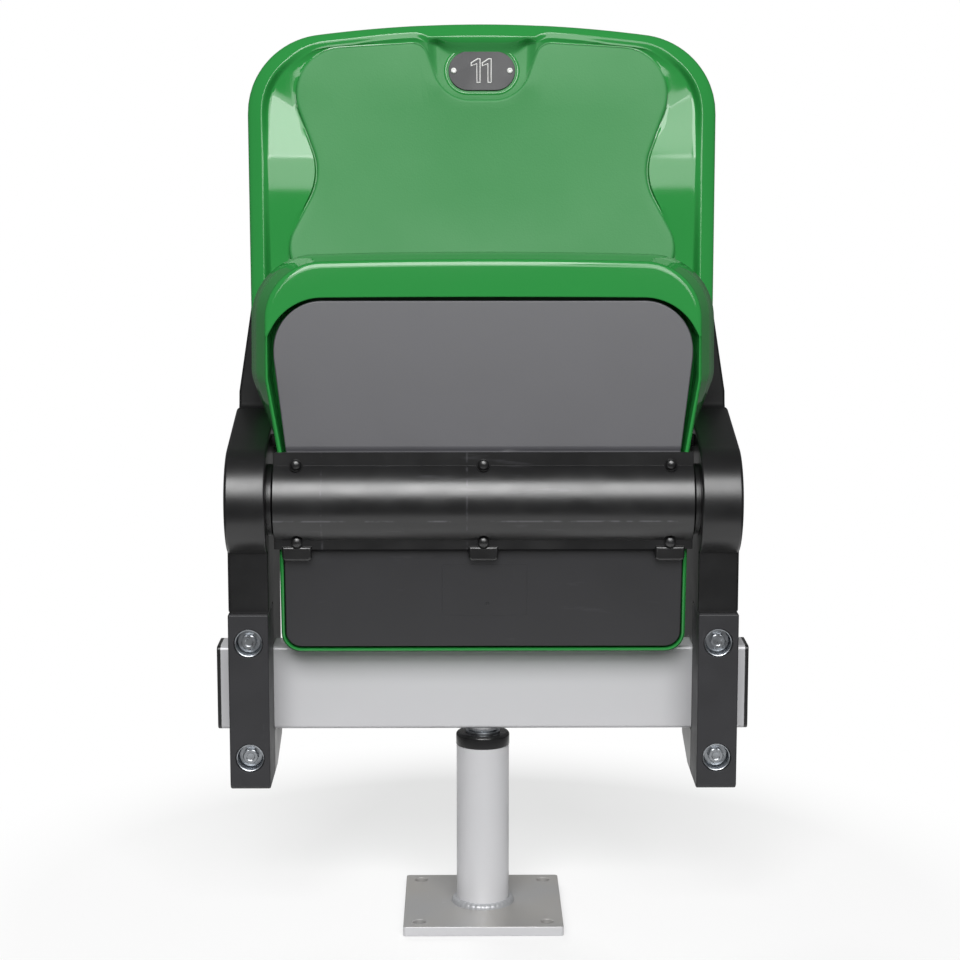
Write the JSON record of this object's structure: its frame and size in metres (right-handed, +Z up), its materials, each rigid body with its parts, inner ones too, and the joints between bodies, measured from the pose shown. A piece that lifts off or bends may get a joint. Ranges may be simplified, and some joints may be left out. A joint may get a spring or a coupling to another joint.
{
  "type": "stadium seat",
  "caption": "Tip-up stadium seat on a swivelling post: green moulded seat and back, black side frames on a steel beam, round column and square floor plate.",
  "frame": {"origin": "centre of the floor plate's underside, on the swivel axis", "axes": "+Z up along the swivel axis, -Y the way the sitter faces, +X to the right of someone who stands in front"},
  "size_m": [0.5, 0.2515, 0.8438],
  "materials": {
    "painted_steel": "light grey satin paint on steel",
    "zinc_steel": "bright zinc plated steel",
    "green_plastic": "glossy injection moulded green",
    "black_plastic": "satin black moulded",
    "panel_plastic": "fine textured dark grey moulded",
    "nylon": "black nylon, turned smooth",
    "stop_rubber": "matte black rubber",
    "plate_plastic": "dark grey satin"
  },
  "bodies": {
    "pedestal": {"base_plate": "painted_steel", "column_weld": "painted_steel", "column_tube": "painted_steel", "top_bush": "nylon", "lower_bush": "nylon", "thrust_washer": "zinc_steel"},
    "turret": {"swivel_shaft": "zinc_steel", "shaft_clip": "zinc_steel", "beam_weld": "painted_steel", "beam": "painted_steel", "beam_cap_left": "black_plastic", "beam_cap_right": "black_plastic", "side_frame_left": "black_plastic", "side_frame_right": "black_plastic", "clamp_left": "black_plastic", "clamp_right": "black_plastic", "clamp_bolt_1": "zinc_steel", "clamp_bolt_2": "zinc_steel", "clamp_bolt_3": "zinc_steel", "clamp_bolt_4": "zinc_steel", "cup_washer_1": "zinc_steel", "cup_washer_2": "zinc_steel", "cup_washer_3": "zinc_steel", "cup_washer_4": "zinc_steel", "clamp_nut_1": "zinc_steel", "clamp_nut_2": "zinc_steel", "clamp_nut_3": "zinc_steel", "clamp_nut_4": "zinc_steel", "axle": "zinc_steel", "pivot_cap_left": "black_plastic", "up_stop_left": "stop_rubber", "down_stop_left": "stop_rubber", "spring_collar_left": "zinc_steel", "pivot_cap_right": "black_plastic", "up_stop_right": "stop_rubber", "down_stop_right": "stop_rubber", "spring_collar_right": "zinc_steel", "back_shell": "green_plastic", "back_screw_1": "zinc_steel", "back_screw_2": "zinc_steel", "back_screw_3": "zinc_steel", "back_screw_4": "zinc_steel", "number_plate": "plate_plastic", "plate_rivet_left": "zinc_steel", "plate_rivet_right": "zinc_steel"},
    "seat": {"seat_pan": "green_plastic", "upper_panel": "panel_plastic", "lower_panel": "panel_plastic", "hinge_cover": "black_plastic", "cover_pin_1": "black_plastic", "cover_pin_2": "black_plastic", "cover_pin_3": "black_plastic", "cover_pin_4": "black_plastic", "cover_pin_5": "black_plastic", "cover_pin_6": "black_plastic", "hinge_bush_left": "nylon", "return_spring_left": "zinc_steel", "hinge_bush_right": "nylon", "return_spring_right": "zinc_steel"}
  },
  "joints": [
    {"name": "swivel", "type": "hinge", "parent": "pedestal", "child": "turret", "pos_m": [0, 0, 0.1793], "axis": [0, 0, 1], "continuous": true},
    {"name": "seat_fold", "type": "hinge", "parent": "turret", "child": "seat", "pos_m": [0, -0.047, 0.4083], "axis": [1, 0, 0], "range_deg": [0, 90], "stiffness_Nm_per_rad": 0.8, "springref_deg": -45.84}
  ]
}
